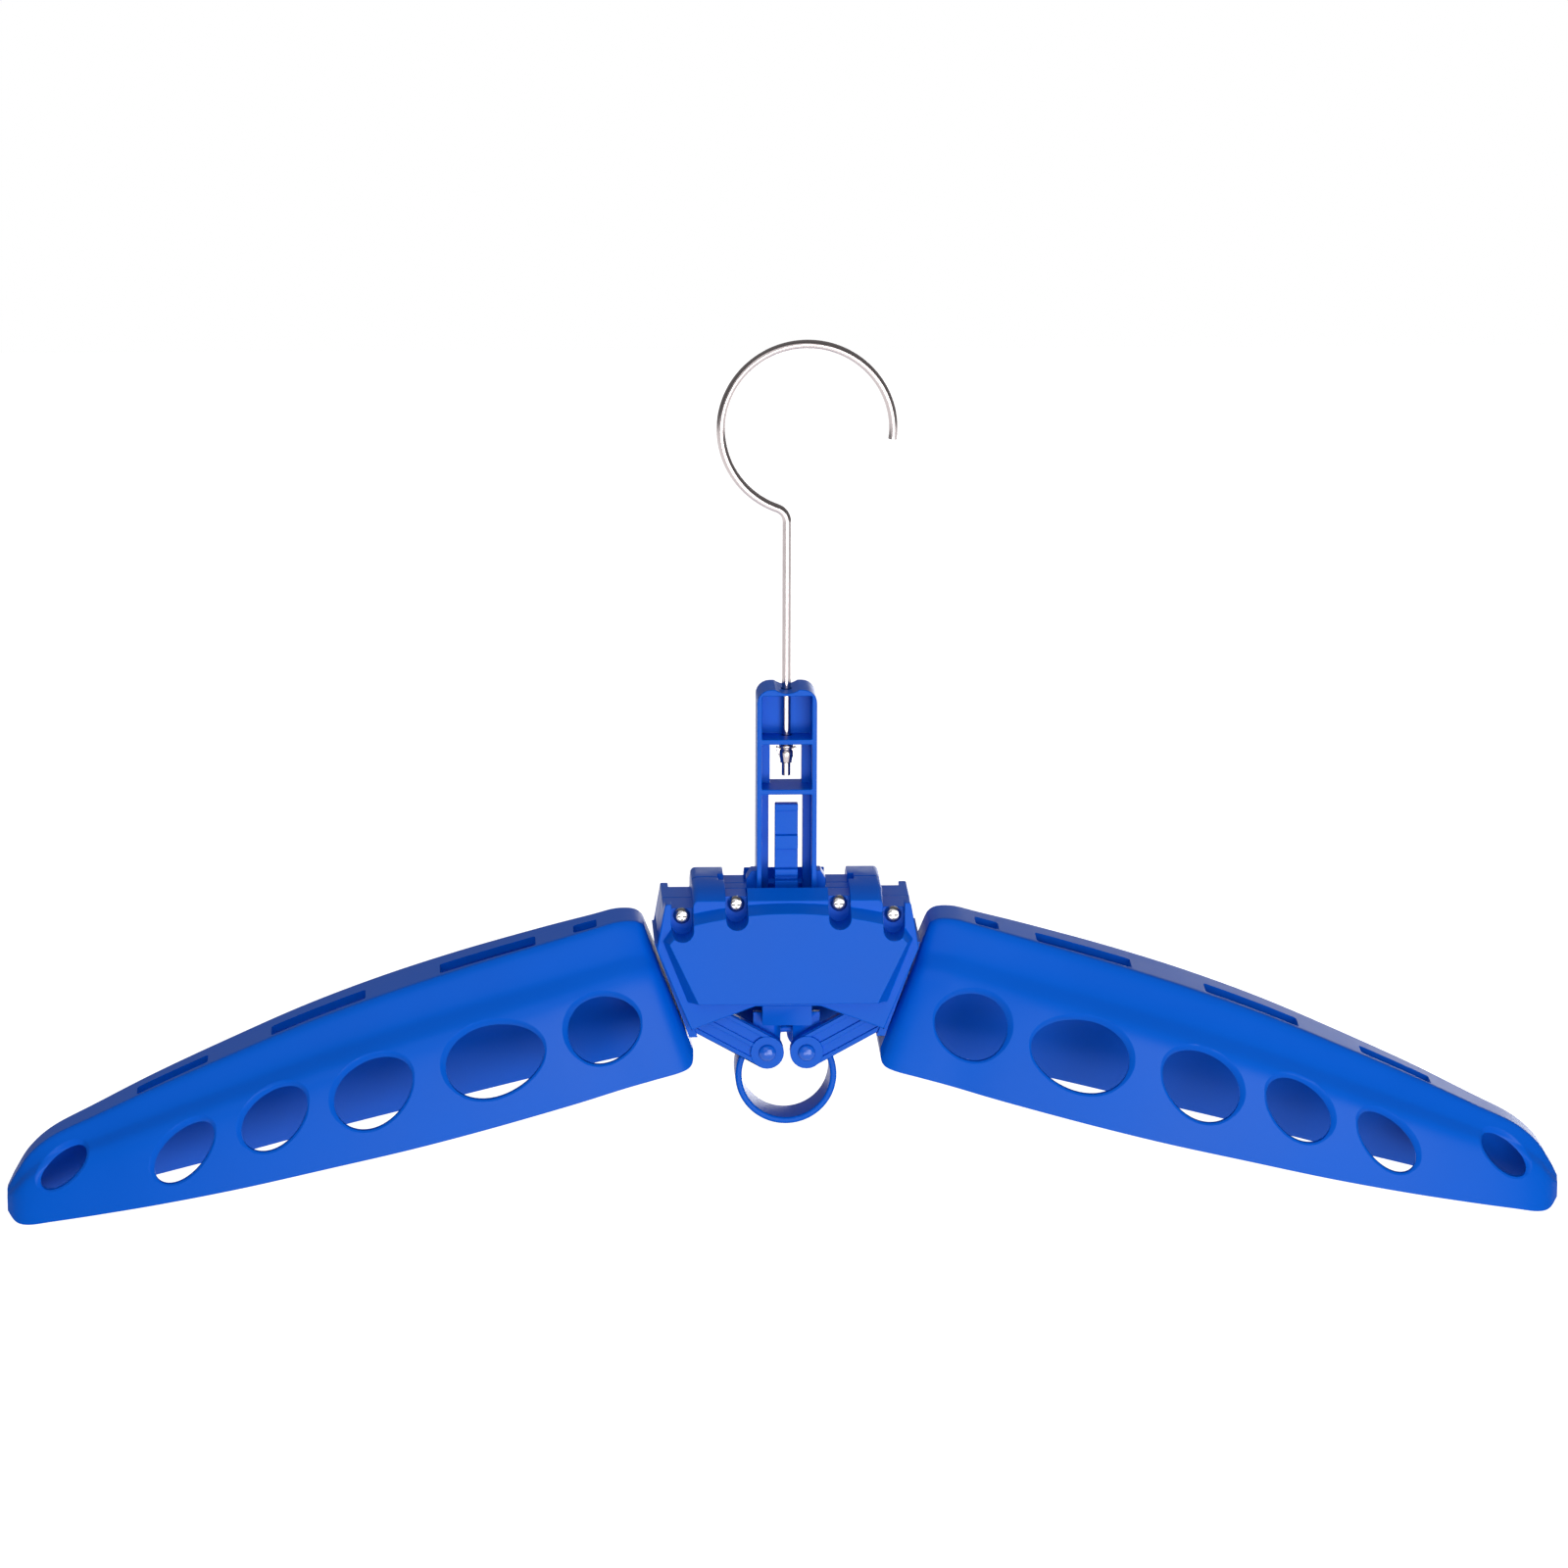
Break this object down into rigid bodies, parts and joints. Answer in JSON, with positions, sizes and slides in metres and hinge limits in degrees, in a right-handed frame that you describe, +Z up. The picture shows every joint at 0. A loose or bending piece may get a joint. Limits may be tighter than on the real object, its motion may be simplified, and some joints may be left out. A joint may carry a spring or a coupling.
{
  "type": "wetsuit hanger",
  "caption": "Folding hanger with wide hollow perforated arms, a box-shaped centre hub, a slotted stem, a swivelling wire hook and a pull ring that folds both arms down.",
  "frame": {"origin": "point on the hook's inner surface straight above the hub, where the rail carries the hanger", "axes": "+X along the span towards the right arm as seen from the front, +Y towards the back, +Z up"},
  "size_m": [0.4764, 0.0482, 0.2724],
  "materials": {
    "blue_plastic": "satin",
    "screw_steel": "polished",
    "hook_steel": "polished"
  },
  "bodies": {
    "hook": {"hook_wire": "hook_steel", "hook_washer": "hook_steel", "hook_ferrule": "hook_steel"},
    "frame": {"stem": "blue_plastic", "front_shell": "blue_plastic", "rear_shell": "blue_plastic", "screw_outer_left": "screw_steel", "screw_inner_left": "screw_steel", "screw_inner_right": "screw_steel", "screw_outer_right": "screw_steel", "pivot_pin_left_front": "blue_plastic", "pivot_pin_left_rear": "blue_plastic", "pivot_pin_right_front": "blue_plastic", "pivot_pin_right_rear": "blue_plastic"},
    "left_side": {"left_arm": "blue_plastic", "left_yoke": "blue_plastic"},
    "right_side": {"right_arm": "blue_plastic", "right_yoke": "blue_plastic"},
    "slide": {"pull_slide": "blue_plastic", "finger_ring": "blue_plastic"},
    "latch": {"latch_tongue": "blue_plastic"}
  },
  "joints": [
    {"name": "hook_swivel", "type": "hinge", "parent": "hook", "child": "frame", "pos_m": [0, 0, -0.124], "axis": [0, 0, 1], "continuous": true},
    {"name": "left_arm_fold", "type": "hinge", "parent": "frame", "child": "left_side", "pos_m": [-0.006, 0, -0.21507], "axis": [0, -1, 0], "range_deg": [0, 55]},
    {"name": "right_arm_fold", "type": "hinge", "parent": "frame", "child": "right_side", "pos_m": [0.006, 0, -0.21507], "axis": [0, 1, 0], "range_deg": [0, 55]},
    {"name": "ring_pull", "type": "slide", "parent": "frame", "child": "slide", "axis": [0, 0, -1], "range_m": [0, 0.016]},
    {"name": "latch_press", "type": "hinge", "parent": "slide", "child": "latch", "pos_m": [0, -0.0023, -0.17407], "axis": [-1, 0, 0], "range_deg": [0, 6], "stiffness_Nm_per_rad": 0.05}
  ],
  "couplings": [
    {"joint": "right_arm_fold", "follows": "left_arm_fold", "ratio": 1},
    {"joint": "ring_pull", "follows": "left_arm_fold", "m_per_rad": 0.016666}
  ]
}
